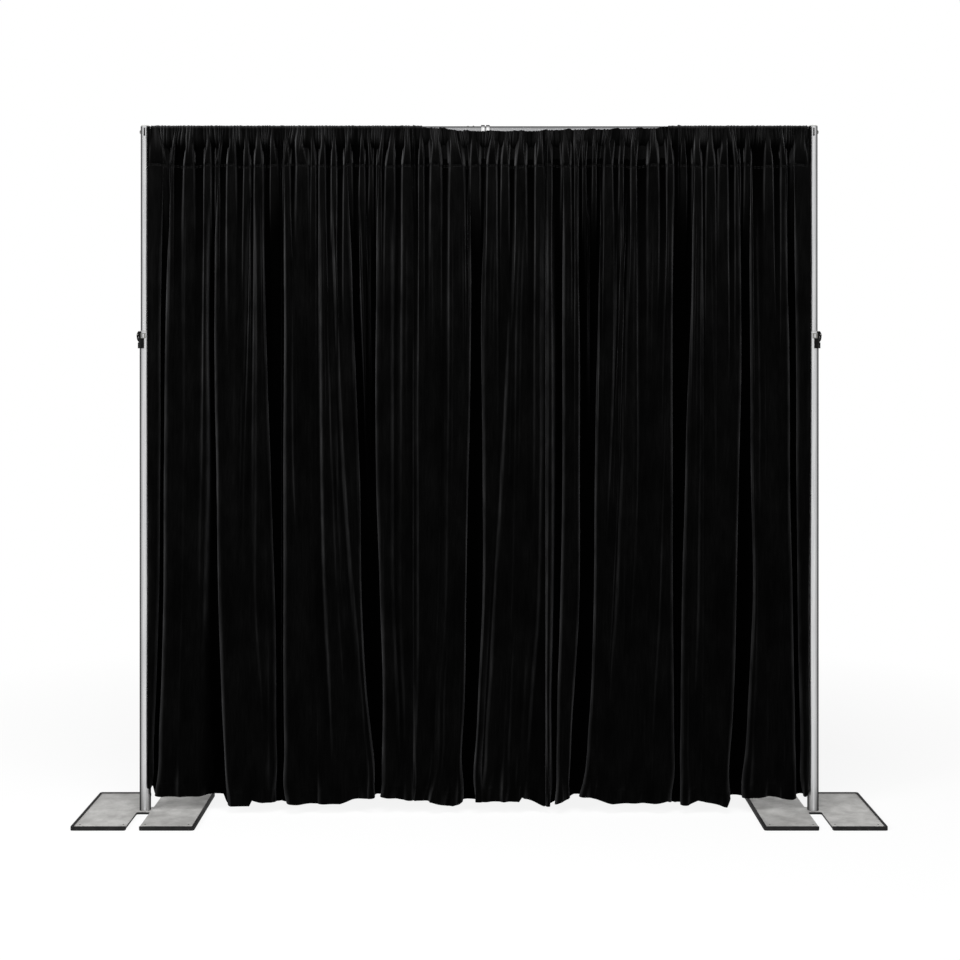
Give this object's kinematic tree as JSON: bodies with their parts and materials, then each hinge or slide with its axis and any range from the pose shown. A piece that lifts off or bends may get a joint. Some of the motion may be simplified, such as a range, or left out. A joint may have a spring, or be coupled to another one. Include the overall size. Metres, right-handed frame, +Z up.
{
  "type": "pipe and drape backdrop",
  "caption": "Free-standing backdrop: flat weighted bases carry telescoping uprights, a hooked crossbar spans them, and gathered black velvet widths hang from it in rod pockets.",
  "frame": {"origin": "on the floor, midway between the two uprights", "axes": "+X to the right along the crossbar, +Y away from the viewer, +Z up"},
  "size_m": [3.593, 0.545, 3.1386],
  "materials": {
    "tube_aluminium": "satin anodised, drawn",
    "base_steel": "mottled matt steel plate",
    "zinc_steel": "zinc plated",
    "chromed_steel": "polished",
    "black_rubber": "matt black rubber",
    "black_nylon": "moulded black nylon",
    "grey_nylon": "moulded grey nylon",
    "black_steel": "blackened steel",
    "black_velvet": "black pile velvet"
  },
  "bodies": {
    "uprights": {"left_lower_tube": "tube_aluminium", "left_tube_bush": "grey_nylon", "left_lock_bracket": "zinc_steel", "left_lock_body": "black_nylon", "left_lock_rivet_front": "black_steel", "left_lock_rivet_back": "black_steel", "left_lever_pin": "zinc_steel", "right_lower_tube": "tube_aluminium", "right_tube_bush": "grey_nylon", "right_lock_bracket": "zinc_steel", "right_lock_body": "black_nylon", "right_lock_rivet_front": "black_steel", "right_lock_rivet_back": "black_steel", "right_lever_pin": "zinc_steel"},
    "left_base": {"left_base_plate": "base_steel", "left_edge_trim_outer": "black_rubber", "left_edge_trim_inner": "black_rubber", "left_base_pin": "zinc_steel", "left_pin_bolt": "zinc_steel"},
    "right_base": {"right_base_plate": "base_steel", "right_edge_trim_outer": "black_rubber", "right_edge_trim_inner": "black_rubber", "right_base_pin": "zinc_steel", "right_pin_bolt": "zinc_steel"},
    "left_mast": {"left_upper_tube": "tube_aluminium", "left_mast_guide": "black_nylon", "left_head_cap": "grey_nylon"},
    "right_mast": {"right_upper_tube": "tube_aluminium", "right_mast_guide": "black_nylon", "right_head_cap": "grey_nylon"},
    "left_lever": {"left_lock_lever": "black_nylon"},
    "right_lever": {"right_lock_lever": "black_nylon"},
    "left_shoe": {"left_brake_shoe": "black_rubber"},
    "right_shoe": {"right_brake_shoe": "black_rubber"},
    "crossbar": {"crossbar_left_half": "tube_aluminium", "crossbar_right_half": "tube_aluminium", "joint_spigot": "zinc_steel", "spigot_rivet": "zinc_steel", "joint_collar_left": "chromed_steel", "joint_collar_right": "chromed_steel", "button_spring_left": "zinc_steel", "button_spring_right": "zinc_steel", "left_bar_plug": "black_nylon", "left_hook": "zinc_steel", "left_hook_rivet": "zinc_steel", "right_bar_plug": "black_nylon", "right_hook": "zinc_steel", "right_hook_rivet": "zinc_steel"},
    "left_button": {"snap_button_left": "chromed_steel"},
    "right_button": {"snap_button_right": "chromed_steel"},
    "left_drape": {"drape_width_1": "black_velvet"},
    "left_inner_drape": {"drape_width_2": "black_velvet"},
    "centre_drape": {"drape_width_3": "black_velvet", "drape_width_4": "black_velvet"},
    "right_drape": {"drape_width_5": "black_velvet"}
  },
  "joints": [
    {"name": "left_base_swivel", "type": "hinge", "parent": "uprights", "child": "left_base", "pos_m": [-1.524, 0, 0.0135], "axis": [0, 0, 1], "continuous": true},
    {"name": "right_base_swivel", "type": "hinge", "parent": "uprights", "child": "right_base", "pos_m": [1.524, 0, 0.0135], "axis": [0, 0, 1], "continuous": true},
    {"name": "left_mast_slide", "type": "slide", "parent": "uprights", "child": "left_mast", "axis": [0, 0, 1], "range_m": [0, 0.525]},
    {"name": "right_mast_slide", "type": "slide", "parent": "uprights", "child": "right_mast", "axis": [0, 0, 1], "range_m": [0, 0.525]},
    {"name": "left_lever_turn", "type": "hinge", "parent": "uprights", "child": "left_lever", "pos_m": [-1.5567, 0, 2.183], "axis": [0, 1, 0], "range_deg": [0, 100]},
    {"name": "right_lever_turn", "type": "hinge", "parent": "uprights", "child": "right_lever", "pos_m": [1.5567, 0, 2.183], "axis": [0, -1, 0], "range_deg": [0, 100]},
    {"name": "left_shoe_slide", "type": "slide", "parent": "uprights", "child": "left_shoe", "axis": [-1, 0, 0], "range_m": [0, 0.001]},
    {"name": "right_shoe_slide", "type": "slide", "parent": "uprights", "child": "right_shoe", "axis": [1, 0, 0], "range_m": [0, 0.001]},
    {"name": "crossbar_lift", "type": "slide", "parent": "left_mast", "child": "crossbar", "axis": [0, 0, 1], "range_m": [0, 0.0075]},
    {"name": "left_button_press", "type": "slide", "parent": "crossbar", "child": "left_button", "axis": [0, 0, -1], "range_m": [0, 0.0018], "stiffness_N_per_m": 2000, "springref_m": -0.002, "deforming": ["button_spring_left"]},
    {"name": "right_button_press", "type": "slide", "parent": "crossbar", "child": "right_button", "axis": [0, 0, -1], "range_m": [0, 0.0032], "stiffness_N_per_m": 2000, "springref_m": -0.002, "deforming": ["button_spring_right"]},
    {"name": "left_drape_swing", "type": "hinge", "parent": "crossbar", "child": "left_drape", "pos_m": [0, 0, 3.114], "axis": [-1, 0, 0], "range_deg": [0, 6]},
    {"name": "left_inner_drape_swing", "type": "hinge", "parent": "crossbar", "child": "left_inner_drape", "pos_m": [0, 0, 3.114], "axis": [-1, 0, 0], "range_deg": [-6, 6]},
    {"name": "centre_drape_swing", "type": "hinge", "parent": "crossbar", "child": "centre_drape", "pos_m": [0, 0, 3.114], "axis": [-1, 0, 0], "range_deg": [-6, 6]},
    {"name": "right_drape_swing", "type": "hinge", "parent": "crossbar", "child": "right_drape", "pos_m": [0, 0, 3.114], "axis": [-1, 0, 0], "range_deg": [0, 6]}
  ],
  "couplings": [
    {"joint": "right_mast_slide", "follows": "left_mast_slide", "ratio": 1},
    {"joint": "left_shoe_slide", "follows": "left_lever_turn", "m_per_rad": 0.00057},
    {"joint": "right_shoe_slide", "follows": "right_lever_turn", "m_per_rad": 0.00057}
  ]
}
